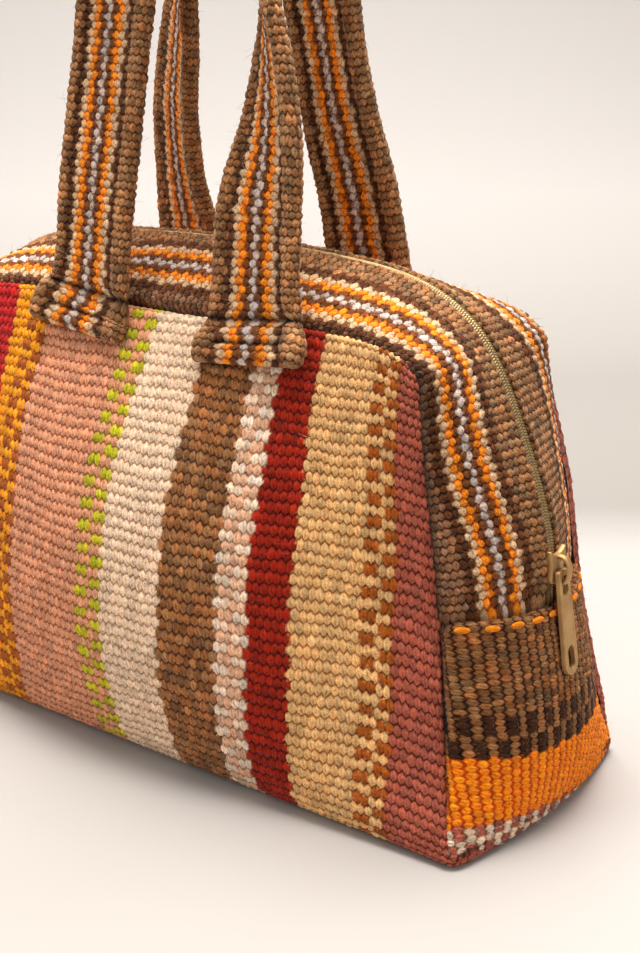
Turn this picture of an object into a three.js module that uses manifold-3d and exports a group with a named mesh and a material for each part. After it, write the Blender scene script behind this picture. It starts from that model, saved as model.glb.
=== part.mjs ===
// Woven wool handbag: one cloth for front, base and back, two end panels, a zip between two striped
// belts, a slider with a swinging pull, and two strap handles. Millimetres, +Z up, the zip runs along X,
// the front faces -Y, and the origin is the middle of the base on the floor.
import * as THREE from 'three';
import Module from 'manifold-3d';

const wasm = await Module();
wasm.setup();
const { Manifold, Mesh } = wasm;

// Driving dimensions
const WALL = 2.8;               // thickness of the wool cloth
const SEAM_GAP = 0.2;           // half of the gap that is left along every seam
const BULGE_POWER = 1.5;        // how quickly the front and back pillows fall off towards the ends
const LEVEL_POWER = 8;          // how late the weft rows bend down to the side seams
const END_POWER = 2.2;          // fullness of the end panels across their width
const CORE = { x: 112, y: 22, low: 38, high: 160 };
const HEM_SEAM_HEIGHT = 86;     // height of the end panel's top hem at the side seams
const TUCK = 9;                 // how far the belts run down behind the end panels
const TUCK_CLEAR = 0.5;
const BELT_SHY = 0.45;          // how far the belt edge stays inside the seam
const BELT_CROWN = 2.4;         // outward bow of each belt across its width
const ZIP_HALF_GAP = 4.2;       // from the middle of the zip to the belt edge
const CHAIN = { halfWidth: 3.8, thickness: 2, sink: 0.9 };
const SLIDER = {
  z: 97.5, plateHalf: 4.7, neckHalf: 3.4, length: 12.5, neckIn: 155.0, plateIn: 156.2, plateOut: 158.1,
  loopOut: 161.9, bridgeOut: 163.4, bridgeHalf: 1.4, loopLow: 92.9, loopHigh: 100.4, rim: 1.4,
};
const PULL = {
  pivotX: 160.0, pivotZ: 95.6, lean: 8.5, above: 1.15, length: 39.6, topHalf: 3.7, lowHalf: 4.7,
  thickness: 1.5, bevel: 0.15, slotHalf: 2, slotFrom: 0.95, slotTo: 7.6,
  holeHalf: 2.2, holeFrom: 27.4, holeTo: 36.2,
};

// Half section of the body cloth, from the middle of the base to the top seam: the middle of the bag,
// then the edge that is sewn to the ends and to the belts.
const SECTION = [
  { yMid: 0, zMid: 0, xEdge: 161.9, yEdge: 0, zEdge: 0 },
  { yMid: 26, zMid: 0, xEdge: 160.5, yEdge: 30, zEdge: 0 },
  { yMid: 47, zMid: 0, xEdge: 157.6, yEdge: 50, zEdge: 0 },
  { yMid: 63, zMid: 9, xEdge: 155.6, yEdge: 59.6, zEdge: 1.8 },
  { yMid: 73.8, zMid: 33, xEdge: 149.6, yEdge: 53.8, zEdge: 27 },
  { yMid: 77.5, zMid: 60, xEdge: 144.6, yEdge: 49.8, zEdge: 53 },
  { yMid: 75.8, zMid: 87, xEdge: 140.2, yEdge: 46.4, zEdge: 80 },
  { yMid: 70.3, zMid: 111, xEdge: 136.8, yEdge: 45.1, zEdge: 105 },
  { yMid: 61.5, zMid: 135, xEdge: 132.8, yEdge: 44.4, zEdge: 130 },
  { yMid: 50, zMid: 157, xEdge: 129.4, yEdge: 43, zEdge: 152 },
  { yMid: 37, zMid: 178, xEdge: 126.3, yEdge: 40.6, zEdge: 171 },
];

// Middle line of an end panel from the floor to its hem, with the height of the same row at the seam.
const END_ROWS = [
  { xMid: 162.5, zMid: 0, zEdge: 0.3 },
  { xMid: 166.4, zMid: 17, zEdge: 19 },
  { xMid: 166.8, zMid: 36, zEdge: 40 },
  { xMid: 164.2, zMid: 58, zEdge: 62 },
  { xMid: 159.2, zMid: 84, zEdge: HEM_SEAM_HEIGHT },
];

// Line of the zip from the hem of the end panel to the middle of the ridge.
const ZIP_ROWS = [
  { x: 155.6, z: 90 }, { x: 155.4, z: 104 }, { x: 151.8, z: 119 }, { x: 146.5, z: 134 }, { x: 140, z: 150 },
  { x: 131, z: 168 }, { x: 121, z: 182 }, { x: 107, z: 192.5 }, { x: 88, z: 199.5 }, { x: 60, z: 203 },
  { x: 30, z: 204.7 }, { x: 0, z: 205 },
];

// Centre lines of each handle's two legs, from the sewn end to the top of the arch. The back handle's are
// given as seen from behind, and turned half round.
const FRONT_RIGHT_LEG = [
  { x: 46.5, y: -49.2, z: 164.2, turn: 0, wide: 49, thick: 5.6 },
  { x: 46.8, y: -44.9, z: 172.3, turn: 0, wide: 47.5, thick: 5.8 },
  { x: 47.5, y: -41.2, z: 180.4, turn: 0, wide: 44, thick: 5.4 },
  { x: 48, y: -38.6, z: 196, turn: 4, wide: 41.5, thick: 5.2 },
  { x: 48.5, y: -35.2, z: 220, turn: 6, wide: 41, thick: 5.2 },
  { x: 50.5, y: -30, z: 250, turn: 24, wide: 41, thick: 5.2 },
  { x: 47.8, y: -24.6, z: 280, turn: 42, wide: 41, thick: 5.2 },
  { x: 43.4, y: -21, z: 305, turn: 58, wide: 41, thick: 5.2 },
  { x: 37, y: -19.4, z: 330, turn: 66, wide: 41, thick: 5.2 },
  { x: 29.6, y: -19.6, z: 352, turn: 73, wide: 41, thick: 5.2 },
  { x: 20.6, y: -20.8, z: 370, turn: 79, wide: 41, thick: 5.2 },
  { x: 11.2, y: -22, z: 381, turn: 85, wide: 41, thick: 5.2 },
  { x: 2, y: -22.6, z: 385, turn: 90, wide: 41, thick: 5.2 },
];
const FRONT_LEFT_LEG = [
  { x: -37.5, y: -49.3, z: 164.2, turn: -1, wide: 49, thick: 5.6 },
  { x: -36.6, y: -45, z: 172.3, turn: -2, wide: 47.5, thick: 5.8 },
  { x: -35, y: -41.5, z: 180.4, turn: -3, wide: 44, thick: 5.4 },
  { x: -34, y: -38.6, z: 196, turn: -5, wide: 41.5, thick: 5.2 },
  { x: -33.4, y: -35.2, z: 220, turn: -3, wide: 41, thick: 5.2 },
  { x: -32.4, y: -30, z: 250, turn: -4, wide: 41, thick: 5.2 },
  { x: -31.6, y: -24.6, z: 280, turn: -9, wide: 41, thick: 5.2 },
  { x: -30.4, y: -21, z: 305, turn: -6, wide: 41, thick: 5.2 },
  { x: -28, y: -19.4, z: 330, turn: 13, wide: 41, thick: 5.2 },
  { x: -23.2, y: -19.6, z: 352, turn: 42, wide: 41, thick: 5.2 },
  { x: -15.6, y: -20.8, z: 370, turn: 64, wide: 41, thick: 5.2 },
  { x: -7, y: -22, z: 381, turn: 80, wide: 41, thick: 5.2 },
  { x: 2, y: -22.6, z: 385, turn: 90, wide: 41, thick: 5.2 },
];
const BACK_RIGHT_LEG = [
  { x: 49.5, y: -49.2, z: 164.2, turn: 0, wide: 49, thick: 5.6 },
  { x: 50.2, y: -44.9, z: 172.3, turn: 0, wide: 47.5, thick: 5.8 },
  { x: 51, y: -41.2, z: 180.4, turn: 2, wide: 44, thick: 5.4 },
  { x: 52, y: -38.6, z: 196, turn: 12, wide: 41.5, thick: 5.2 },
  { x: 53.5, y: -35.2, z: 220, turn: 22, wide: 41, thick: 5.2 },
  { x: 50.5, y: -30, z: 250, turn: 26, wide: 41, thick: 5.2 },
  { x: 42, y: -24.6, z: 280, turn: 31, wide: 41, thick: 5.2 },
  { x: 35, y: -21, z: 305, turn: 43, wide: 41, thick: 5.2 },
  { x: 29.4, y: -19.4, z: 330, turn: 56, wide: 41, thick: 5.2 },
  { x: 23.4, y: -19.6, z: 352, turn: 68, wide: 41, thick: 5.2 },
  { x: 16.2, y: -20.8, z: 370, turn: 78, wide: 41, thick: 5.2 },
  { x: 8.6, y: -22, z: 381, turn: 85, wide: 41, thick: 5.2 },
  { x: 0, y: -22.6, z: 385, turn: 90, wide: 41, thick: 5.2 },
];
const BACK_LEFT_LEG = [
  { x: -44.5, y: -49.3, z: 164.2, turn: -1, wide: 49, thick: 5.6 },
  { x: -44.4, y: -45, z: 172.3, turn: -2, wide: 47.5, thick: 5.8 },
  { x: -44.3, y: -41.5, z: 180.4, turn: -3, wide: 44, thick: 5.4 },
  { x: -44, y: -38.6, z: 196, turn: -4, wide: 41.5, thick: 5.2 },
  { x: -41.5, y: -35.2, z: 220, turn: -6, wide: 41, thick: 5.2 },
  { x: -36.4, y: -30, z: 250, turn: -10, wide: 41, thick: 5.2 },
  { x: -34, y: -24.6, z: 280, turn: -13, wide: 41, thick: 5.2 },
  { x: -32.2, y: -21, z: 305, turn: -6, wide: 41, thick: 5.2 },
  { x: -29.4, y: -19.4, z: 330, turn: 14, wide: 41, thick: 5.2 },
  { x: -24.2, y: -19.6, z: 352, turn: 42, wide: 41, thick: 5.2 },
  { x: -16.8, y: -20.8, z: 370, turn: 64, wide: 41, thick: 5.2 },
  { x: -8.6, y: -22, z: 381, turn: 80, wide: 41, thick: 5.2 },
  { x: 0, y: -22.6, z: 385, turn: 90, wide: 41, thick: 5.2 },
];

const PAINT = {
  body_cloth: 0xc9a27a, end_panel_right: 0xa0714a, end_panel_left: 0xa0714a, zip_belt_front: 0x8a5f3c,
  zip_belt_back: 0x8a5f3c, zip_chain: 0x8f7a4e, zip_slider: 0x87704a, zip_pull: 0x96764a,
  handle_front: 0x7d583a, handle_back: 0x7d583a,
};

// Smooth curve through the rows of a table; share runs from 0 at the first row to 1 at the last.
function along(rows, share) {
  const last = rows.length - 1;
  const place = Math.min(Math.max(share, 0), 1) * last;
  const i = Math.min(Math.floor(place), last - 1);
  const f = place - i;
  const out = {};
  for (const key of Object.keys(rows[0])) {
    const b = rows[i][key];
    const c = rows[i + 1][key];
    const a = i > 0 ? rows[i - 1][key] : 2 * b - c;
    const d = i + 2 <= last ? rows[i + 2][key] : 2 * c - b;
    const square = 2 * a - 5 * b + 4 * c - d;
    const cube = 3 * b - a - 3 * c + d;
    out[key] = 0.5 * (2 * b + (c - a) * f + square * f * f + cube * f * f * f);
  }
  return out;
}

const mix = (a, b, t) => a + (b - a) * t;
const clamp = (value, low, high) => Math.min(Math.max(value, low), high);

// Moves a point of the outside inwards by a wall thickness, so that neighbouring pieces meet in a mitre.
function inset(point, depth) {
  const away = new THREE.Vector3(
    point.x - clamp(point.x, -CORE.x, CORE.x),
    point.y - clamp(point.y, -CORE.y, CORE.y),
    point.z - clamp(point.z, CORE.low, CORE.high),
  );
  const most = Math.max(Math.abs(away.x), Math.abs(away.y), Math.abs(away.z));
  return point.clone().addScaledVector(away, -depth / most);
}

// Front half of the body cloth: u runs from the left seam to the right one, v from the base to the top.
function bodyPoint(u, v) {
  const row = along(SECTION, v);
  const pillow = Math.pow(Math.max(0, 1 - u * u), BULGE_POWER);
  const level = 1 - Math.pow(Math.abs(u), LEVEL_POWER);
  const y = mix(row.yEdge, row.yMid, pillow);
  const z = mix(row.zEdge, row.zMid, level);
  return new THREE.Vector3(row.xEdge * u, -y, Math.max(0, z));
}

// Share of the half section at which the side seam reaches a height.
function seamShare(height) {
  let low = 2 / (SECTION.length - 1);
  let high = 1;
  for (let i = 0; i < 40; i += 1) {
    const half = (low + high) / 2;
    if (along(SECTION, half).zEdge < height) low = half;
    else high = half;
  }
  return (low + high) / 2;
}

// Right end panel: q runs from the front seam to the back one, v from the floor to the hem.
function endPoint(q, v) {
  const row = along(END_ROWS, v);
  const seam = along(SECTION, seamShare(row.zEdge));
  const full = 1 - Math.pow(Math.abs(q), END_POWER);
  const x = mix(seam.xEdge, row.xMid, full);
  const z = Math.max(0, mix(row.zEdge, row.zMid, full));
  return new THREE.Vector3(x, seam.yEdge * q, z);
}

// Polyline read by its share of length.
function measured(points) {
  const lengths = [0];
  for (let i = 1; i < points.length; i += 1) lengths.push(lengths[i - 1] + points[i].distanceTo(points[i - 1]));
  const total = lengths[lengths.length - 1];
  return (share) => {
    const goal = clamp(share, 0, 1) * total;
    let i = 1;
    while (i < points.length - 1 && lengths[i] < goal) i += 1;
    const span = lengths[i] - lengths[i - 1];
    return points[i - 1].clone().lerp(points[i], (goal - lengths[i - 1]) / span);
  };
}

// The seam from just above the hem, up the side, round the corner and along the top to the middle.
function seamLine() {
  const points = [];
  const from = seamShare(HEM_SEAM_HEIGHT + 4);
  for (let i = 0; i <= 40; i += 1) points.push(bodyPoint(1, mix(from, 1, i / 40)));
  for (let i = 1; i <= 60; i += 1) points.push(bodyPoint(1 - i / 60, 1));
  return measured(points);
}

function zipLine() {
  const points = [];
  for (let i = 0; i <= 110; i += 1) {
    const row = along(ZIP_ROWS, i / 110);
    points.push(new THREE.Vector3(row.x, 0, row.z));
  }
  return measured(points);
}

const seamAt = seamLine();
const zipAt = zipLine();

// Share of the seam's length at which it turns the top corner of the panel.
function cornerShare() {
  const corner = bodyPoint(1, 1);
  let best = 0;
  for (let k = 0; k <= 600; k += 1) {
    if (seamAt(k / 600).distanceTo(corner) < seamAt(best).distanceTo(corner)) best = k / 600;
  }
  return best;
}

// Front belt, right half: share runs from the hem to the middle of the ridge, q from the seam to the zip.
function beltPoint(share, q) {
  const seam = seamAt(share);
  const zip = zipAt(share);
  zip.y = -ZIP_HALF_GAP;
  const across = zip.clone().sub(seam);
  const ahead = zipAt(Math.min(1, share + 0.02)).sub(zipAt(Math.max(0, share - 0.02)));
  const out = across.clone().cross(ahead).normalize();
  const shy = BELT_SHY / across.length();
  const t = shy + q * (1 - shy);
  return seam.addScaledVector(across, t).addScaledVector(out, 4 * BELT_CROWN * t * (1 - t));
}

// The end of the belt that runs down behind the end panel.
function tuckPoint(drop, q) {
  const rows = (HEM_SEAM_HEIGHT - drop) / HEM_SEAM_HEIGHT;
  const edge = along(SECTION, seamShare(HEM_SEAM_HEIGHT - drop)).yEdge;
  return inset(endPoint(mix(-1, -ZIP_HALF_GAP / edge, q), rows), WALL + TUCK_CLEAR);
}

// Closed surface whose faces are turned so that they look outwards.
function closed(spots, faces) {
  const corner = (i) => new THREE.Vector3(spots[3 * i], spots[3 * i + 1], spots[3 * i + 2]);
  let volume = 0;
  for (let i = 0; i < faces.length; i += 3) {
    volume += corner(faces[i]).dot(corner(faces[i + 1]).cross(corner(faces[i + 2])));
  }
  const order = volume < 0 ? faces.slice().reverse() : faces;
  const geometry = new THREE.BufferGeometry();
  geometry.setAttribute('position', new THREE.Float32BufferAttribute(spots, 3));
  geometry.setIndex(order);
  return geometry;
}

// Closed wall from a grid of outside points and the matching grid of inside points.
function wall(outer, inner) {
  const rows = outer.length;
  const columns = outer[0].length;
  const spots = [];
  for (const grid of [outer, inner]) for (const row of grid) for (const p of row) spots.push(p.x, p.y, p.z);
  const at = (side, i, j) => side * rows * columns + i * columns + j;
  const faces = [];
  const quad = (a, b, c, d) => faces.push(a, b, c, a, c, d);
  for (let i = 0; i < rows - 1; i += 1) {
    for (let j = 0; j < columns - 1; j += 1) {
      quad(at(0, i, j), at(0, i, j + 1), at(0, i + 1, j + 1), at(0, i + 1, j));
      quad(at(1, i, j), at(1, i + 1, j), at(1, i + 1, j + 1), at(1, i, j + 1));
    }
  }
  for (let j = 0; j < columns - 1; j += 1) {
    quad(at(1, 0, j), at(1, 0, j + 1), at(0, 0, j + 1), at(0, 0, j));
    quad(at(0, rows - 1, j), at(0, rows - 1, j + 1), at(1, rows - 1, j + 1), at(1, rows - 1, j));
  }
  for (let i = 0; i < rows - 1; i += 1) {
    quad(at(0, i, 0), at(0, i + 1, 0), at(1, i + 1, 0), at(1, i, 0));
    quad(at(1, i, columns - 1), at(1, i + 1, columns - 1), at(0, i + 1, columns - 1), at(0, i, columns - 1));
  }
  return closed(spots, faces);
}

const mirrored = (grid, axis) => grid.map((row) => row.map((p) => {
  const q = p.clone();
  q[axis] = -q[axis];
  return q;
}));
const thickened = (grid) => grid.map((row) => row.map((p) => inset(p, WALL)));

// Places along a run from -1 to 1 that crowd towards both ends, kept just short of the seams.
function crowded(count, shy) {
  const places = [];
  for (let i = 0; i <= count; i += 1) {
    const even = (2 * i) / count - 1;
    places.push((1 - shy) * mix(even, Math.sin((even * Math.PI) / 2), 0.75));
  }
  return places;
}

function bodyCloth() {
  const half = [];
  const across = crowded(22, SEAM_GAP / 140);
  const shares = [];
  for (let k = 0; k <= 3; k += 1) shares.push((0.2 * k) / 3);
  for (let k = 1; k <= 4; k += 1) shares.push(0.2 + (0.2 * k) / 4);
  for (let k = 1; k <= 10; k += 1) shares.push(0.4 + ((0.6 - SEAM_GAP / 250) * k) / 10);
  for (const v of shares) half.push(across.map((u) => bodyPoint(u, v)));
  const back = mirrored(half.slice(1), 'y').reverse();
  const outer = back.concat(half);
  return wall(outer, thickened(outer));
}

function endPanel(side) {
  const grid = [];
  const across = crowded(12, (2.5 * SEAM_GAP) / 45);
  for (let k = 0; k <= 10; k += 1) grid.push(across.map((q) => endPoint(q, mix(0.02, 1, k / 10))));
  const outer = side > 0 ? grid : mirrored(grid, 'x');
  return wall(outer, thickened(outer));
}

function zipBelt(side) {
  const half = [];
  const places = [0, 0.2, 0.5, 0.8, 1];
  for (const drop of [TUCK, TUCK / 2, 0]) half.push(places.map((q) => tuckPoint(drop, q)));
  const turn = cornerShare();
  for (let k = 0; k < 9; k += 1) half.push(places.map((q) => beltPoint((turn * k) / 9, q)));
  for (let k = 0; k <= 16; k += 1) {
    const share = mix(turn, 1, Math.pow(k / 16, 1.5));
    half.push(places.map((q) => beltPoint(share, q)));
  }
  const left = mirrored(half.slice(0, -1), 'x').reverse();
  const front = half.concat(left);
  const outer = side < 0 ? front : mirrored(front, 'y');
  return wall(outer, thickened(outer));
}

// The zip chain: a flat strip that follows the ridge and both ends, a little below the belt edges.
function zipChain() {
  const line = [];
  for (const drop of [TUCK, TUCK / 2]) line.push(tuckPoint(drop, 1));
  for (let k = 0; k <= 22; k += 1) line.push(zipAt(k / 22));
  const path = line.map((p) => new THREE.Vector3(p.x, 0, p.z));
  const whole = path.concat(mirrored([path.slice(0, -1)], 'x')[0].reverse());
  const outer = [];
  const inner = [];
  whole.forEach((p, i) => {
    const ahead = whole[Math.min(i + 1, whole.length - 1)].clone().sub(whole[Math.max(i - 1, 0)]).normalize();
    const out = new THREE.Vector3(ahead.z, 0, -ahead.x);
    const top = p.clone().addScaledVector(out, -CHAIN.sink);
    const low = top.clone().addScaledVector(out, -CHAIN.thickness);
    const row = [-CHAIN.halfWidth, 0, CHAIN.halfWidth];
    outer.push(row.map((y) => new THREE.Vector3(top.x, y, top.z)));
    inner.push(row.map((y) => new THREE.Vector3(low.x, y, low.z)));
  });
  return wall(outer, inner);
}

function toSolid(geometry) {
  const bare = geometry.index ? geometry.toNonIndexed() : geometry;
  const spots = bare.getAttribute('position').array;
  const keys = new Map();
  const points = [];
  const faces = [];
  for (let i = 0; i < spots.length; i += 3) {
    const key = [spots[i], spots[i + 1], spots[i + 2]].map((n) => n.toFixed(4)).join();
    if (!keys.has(key)) {
      keys.set(key, points.length / 3);
      points.push(spots[i], spots[i + 1], spots[i + 2]);
    }
    faces.push(keys.get(key));
  }
  const mesh = new Mesh({
    numProp: 3, vertProperties: new Float32Array(points), triVerts: new Uint32Array(faces),
  });
  return new Manifold(mesh);
}

function toGeometry(solid) {
  const mesh = solid.getMesh();
  const geometry = new THREE.BufferGeometry();
  const spots = [];
  for (let i = 0; i < mesh.vertProperties.length; i += mesh.numProp) {
    spots.push(mesh.vertProperties[i], mesh.vertProperties[i + 1], mesh.vertProperties[i + 2]);
  }
  geometry.setAttribute('position', new THREE.Float32BufferAttribute(spots, 3));
  geometry.setIndex(Array.from(mesh.triVerts));
  return geometry;
}

// Outline with rounded corners, as a shape in its own plane.
function rounded(low, high, left, right, radius, shape) {
  shape.moveTo(left + radius, low);
  shape.lineTo(right - radius, low);
  shape.absarc(right - radius, low + radius, radius, -Math.PI / 2, 0, false);
  shape.lineTo(right, high - radius);
  shape.absarc(right - radius, high - radius, radius, 0, Math.PI / 2, false);
  shape.lineTo(left + radius, high);
  shape.absarc(left + radius, high - radius, radius, Math.PI / 2, Math.PI, false);
  shape.lineTo(left, low + radius);
  shape.absarc(left + radius, low + radius, radius, Math.PI, 1.5 * Math.PI, false);
  return shape;
}

// Slider: a flat body over the chain and a bridge that carries the pull.
function zipSlider() {
  const s = SLIDER;
  const plain = (depth) => ({ depth, bevelEnabled: false, curveSegments: 3 });
  const half = s.length / 2;
  const face = rounded(s.z - half, s.z + half, -s.plateHalf, s.plateHalf, 2.2, new THREE.Shape());
  const neckFace = rounded(s.z - half + 1, s.z + half - 1, -s.neckHalf, s.neckHalf, 1.2, new THREE.Shape());
  const standing = (shape, from, depth) => {
    const block = new THREE.ExtrudeGeometry(shape, plain(depth));
    block.rotateY(Math.PI / 2);
    block.rotateX(Math.PI / 2);
    block.translate(from, 0, 0);
    return toSolid(block);
  };
  const plate = standing(face, s.plateIn, s.plateOut - s.plateIn);
  const neck = standing(neckFace, s.neckIn, s.plateIn - s.neckIn + 0.4);
  const side = new THREE.Shape();
  side.moveTo(s.plateOut - 0.5, s.loopLow - s.rim);
  side.lineTo(s.bridgeOut - 1.6, s.loopLow - s.rim);
  side.absarc(s.bridgeOut - 1.6, s.loopLow - s.rim + 1.6, 1.6, -Math.PI / 2, 0, false);
  side.lineTo(s.bridgeOut, s.loopHigh + s.rim - 1.6);
  side.absarc(s.bridgeOut - 1.6, s.loopHigh + s.rim - 1.6, 1.6, 0, Math.PI / 2, false);
  side.lineTo(s.plateOut - 0.5, s.loopHigh + s.rim);
  side.closePath();
  side.holes.push(rounded(s.loopLow, s.loopHigh, s.plateOut, s.loopOut, 0.5, new THREE.Path()));
  const bridge = new THREE.ExtrudeGeometry(side, plain(2 * s.bridgeHalf));
  bridge.rotateX(Math.PI / 2);
  bridge.translate(0, s.bridgeHalf, 0);
  return toGeometry(plate.add(neck).add(toSolid(bridge)));
}

// Pull: a long flat tab with a slot for the bridge and a rounded hole near its free end.
function zipPull() {
  const p = PULL;
  const shape = new THREE.Shape();
  const foot = p.length - p.above;
  shape.moveTo(-p.topHalf + 1, p.above);
  shape.lineTo(p.topHalf - 1, p.above);
  shape.quadraticCurveTo(p.topHalf, p.above, p.topHalf, p.above - 1);
  shape.lineTo(p.lowHalf, -foot + p.lowHalf);
  shape.absarc(0, -foot + p.lowHalf, p.lowHalf, 0, -Math.PI, true);
  shape.lineTo(-p.topHalf, p.above - 1);
  shape.quadraticCurveTo(-p.topHalf, p.above, -p.topHalf + 1, p.above);
  const slot = rounded(-p.slotTo, -p.slotFrom, -p.slotHalf, p.slotHalf, 0.6, new THREE.Path());
  const hole = rounded(-p.holeTo, -p.holeFrom, -p.holeHalf, p.holeHalf, p.holeHalf - 0.05, new THREE.Path());
  shape.holes.push(slot, hole);
  const tab = new THREE.ExtrudeGeometry(shape, {
    depth: p.thickness, bevelEnabled: true, bevelSize: p.bevel, bevelThickness: p.bevel, bevelOffset: -p.bevel,
    bevelSegments: 1, curveSegments: 4,
  });
  tab.translate(0, 0, -p.thickness / 2);
  tab.rotateX(Math.PI / 2);
  tab.rotateZ(Math.PI / 2);
  tab.rotateY((-p.lean * Math.PI) / 180);
  tab.translate(p.pivotX, 0, p.pivotZ);
  return toGeometry(toSolid(tab));
}

// Strap handle: a flat padded band with thick edges that turns on itself as it rises into an arch.
function strapHandle(side, rightLeg, leftLeg) {
  const count = 24;
  const leg = (table) => Array.from({ length: count + 1 }, (_, k) => along(table, k / count));
  const rows = leg(rightLeg).concat(leg(leftLeg).slice(0, -1).reverse());
  const spine = rows.map((row) => new THREE.Vector3(row.x, row.y, row.z));
  const ring = 14;
  const spots = [];
  rows.forEach((row, i) => {
    const ahead = spine[Math.min(i + 1, spine.length - 1)].clone().sub(spine[Math.max(i - 1, 0)]).normalize();
    const front = new THREE.Vector3(0, -1, 0);
    front.addScaledVector(ahead, -front.dot(ahead)).normalize();
    const outward = ahead.clone().cross(front);
    const turn = (row.turn * Math.PI) / 180;
    const wide = outward.clone().multiplyScalar(Math.cos(turn)).addScaledVector(front, Math.sin(turn));
    const face = front.clone().multiplyScalar(Math.cos(turn)).addScaledVector(outward, -Math.sin(turn));
    for (let j = 0; j < ring; j += 1) {
      const angle = (2 * Math.PI * (j + 0.5)) / ring;
      const c = Math.cos(angle);
      const s = Math.sin(angle);
      const a = (row.wide / 2) * Math.sign(c) * Math.pow(Math.abs(c), 0.45);
      const b = (row.thick / 2) * Math.sign(s) * Math.pow(Math.abs(s), 0.55);
      const point = spine[i].clone().addScaledVector(wide, a).addScaledVector(face, b);
      spots.push(point.x * -side, point.y * -side, point.z);
    }
  });
  const faces = [];
  const push = (a, b, c) => faces.push(a, b, c);
  for (let i = 0; i < rows.length - 1; i += 1) {
    for (let j = 0; j < ring; j += 1) {
      const n = (j + 1) % ring;
      push(i * ring + j, (i + 1) * ring + n, i * ring + n);
      push(i * ring + j, (i + 1) * ring + j, (i + 1) * ring + n);
    }
  }
  const end = (rows.length - 1) * ring;
  for (let j = 1; j < ring - 1; j += 1) {
    push(0, j, j + 1);
    push(end, end + j + 1, end + j);
  }
  return closed(spots, faces);
}

const PIECES = {
  body_cloth: bodyCloth(),
  end_panel_right: endPanel(1),
  end_panel_left: endPanel(-1),
  zip_belt_front: zipBelt(-1),
  zip_belt_back: zipBelt(1),
  zip_chain: zipChain(),
  zip_slider: zipSlider(),
  zip_pull: zipPull(),
  handle_front: strapHandle(-1, FRONT_RIGHT_LEG, FRONT_LEFT_LEG),
  handle_back: strapHandle(1, BACK_RIGHT_LEG, BACK_LEFT_LEG),
};

const bag = new THREE.Group();
bag.name = 'wool_handbag';
for (const [name, geometry] of Object.entries(PIECES)) {
  geometry.computeVertexNormals();
  const mesh = new THREE.Mesh(geometry, new THREE.MeshStandardMaterial({ color: PAINT[name], roughness: 0.9 }));
  mesh.name = name;
  bag.add(mesh);
}
export default bag;
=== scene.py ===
"""Woven wool handbag: every cloth is a numpy surface whose grid follows its warp ends and weft picks, so each
float of the weave is a swelling of the mesh, and the stripes are charted end by end."""
from functools import partial

import bpy
import numpy as np
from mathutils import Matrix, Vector


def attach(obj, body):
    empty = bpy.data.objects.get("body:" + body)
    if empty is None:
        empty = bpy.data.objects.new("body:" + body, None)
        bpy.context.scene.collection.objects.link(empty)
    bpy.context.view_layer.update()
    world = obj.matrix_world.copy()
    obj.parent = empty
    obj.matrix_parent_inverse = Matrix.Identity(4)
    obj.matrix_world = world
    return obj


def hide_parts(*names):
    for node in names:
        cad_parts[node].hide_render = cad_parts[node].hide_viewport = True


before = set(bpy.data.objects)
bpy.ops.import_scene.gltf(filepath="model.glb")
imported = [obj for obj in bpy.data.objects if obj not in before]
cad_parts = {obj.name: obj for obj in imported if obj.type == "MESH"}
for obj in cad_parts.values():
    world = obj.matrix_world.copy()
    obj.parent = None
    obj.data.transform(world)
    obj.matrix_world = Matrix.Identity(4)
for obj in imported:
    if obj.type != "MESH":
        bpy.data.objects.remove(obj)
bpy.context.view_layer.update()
MM = 0.001
join = np.concatenate


def table(columns, *rows):
    """Columns by name, as arrays."""
    return dict(zip(columns.split(), np.array(rows, float).T))


# Sizes of the bag, in millimetres
BULGE_POWER, LEVEL_POWER, END_POWER = 1.5, 8, 2.2
HEM_HEIGHT = 86.0
ZIP_HALF_GAP = 4.2
WALL_INSET = 3.3  # a wall's thickness and a little more
CORE = (-112, -22, 38), (112, 22, 160)  # corners of the middle box that walls are set in towards

SECTION = table(
    "y_mid z_mid x_edge y_edge z_edge",
    (0, 0, 161.9, 0, 0), (29, 0, 160.2, 33, 0), (53, 0, 156.4, 55.5, 0), (66, 8.5, 154.0, 60.4, 6),
    (74.3, 33, 149.6, 54.2, 27), (77.5, 60, 144.6, 49.8, 53), (75.8, 87, 140.2, 46.4, 80),
    (70.3, 111, 136.8, 45.1, 105), (61.5, 135, 132.8, 44.4, 130), (50, 157, 129.4, 43, 152),
    (35.6, 181.6, 126.3, 40.6, 171),
)
END_ROWS = table(
    "x_mid z_mid z_edge",
    (162.5, 0, 0.3), (166.4, 17, 19), (166.8, 36, 40), (164.2, 58, 62), (159.2, 84, HEM_HEIGHT),
)
ZIP_ROWS = table(
    "x z",
    (155.6, 90), (155.4, 104), (151.8, 119), (146.5, 134), (140, 150), (131, 168), (121, 181), (107, 190.6),
    (88, 197), (60, 200.4), (30, 202), (0, 202.4),
)
LEG_RISE = (  # y and z of every strap leg, from above its foot to the top of the arch
    (-35.2, 220), (-30, 250), (-24.6, 280), (-21, 305), (-19.4, 330), (-19.6, 352), (-20.8, 370), (-22, 381),
    (-22.6, 385),
)
LEG_WIDTHS = (49, 47.5, 44, 41.5) + (41,) * len(LEG_RISE)


def leg(foot, upper):
    """Strap leg: its foot's rows of x, y, z and turn, then x and turn for each row of the rise."""
    rise = [(x, y, z, turn) for (x, turn), (y, z) in zip(upper, LEG_RISE)]
    rows = ((*row, wide) for row, wide in zip((*foot, *rise), LEG_WIDTHS))
    return table("x y z turn wide", *rows)


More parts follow.
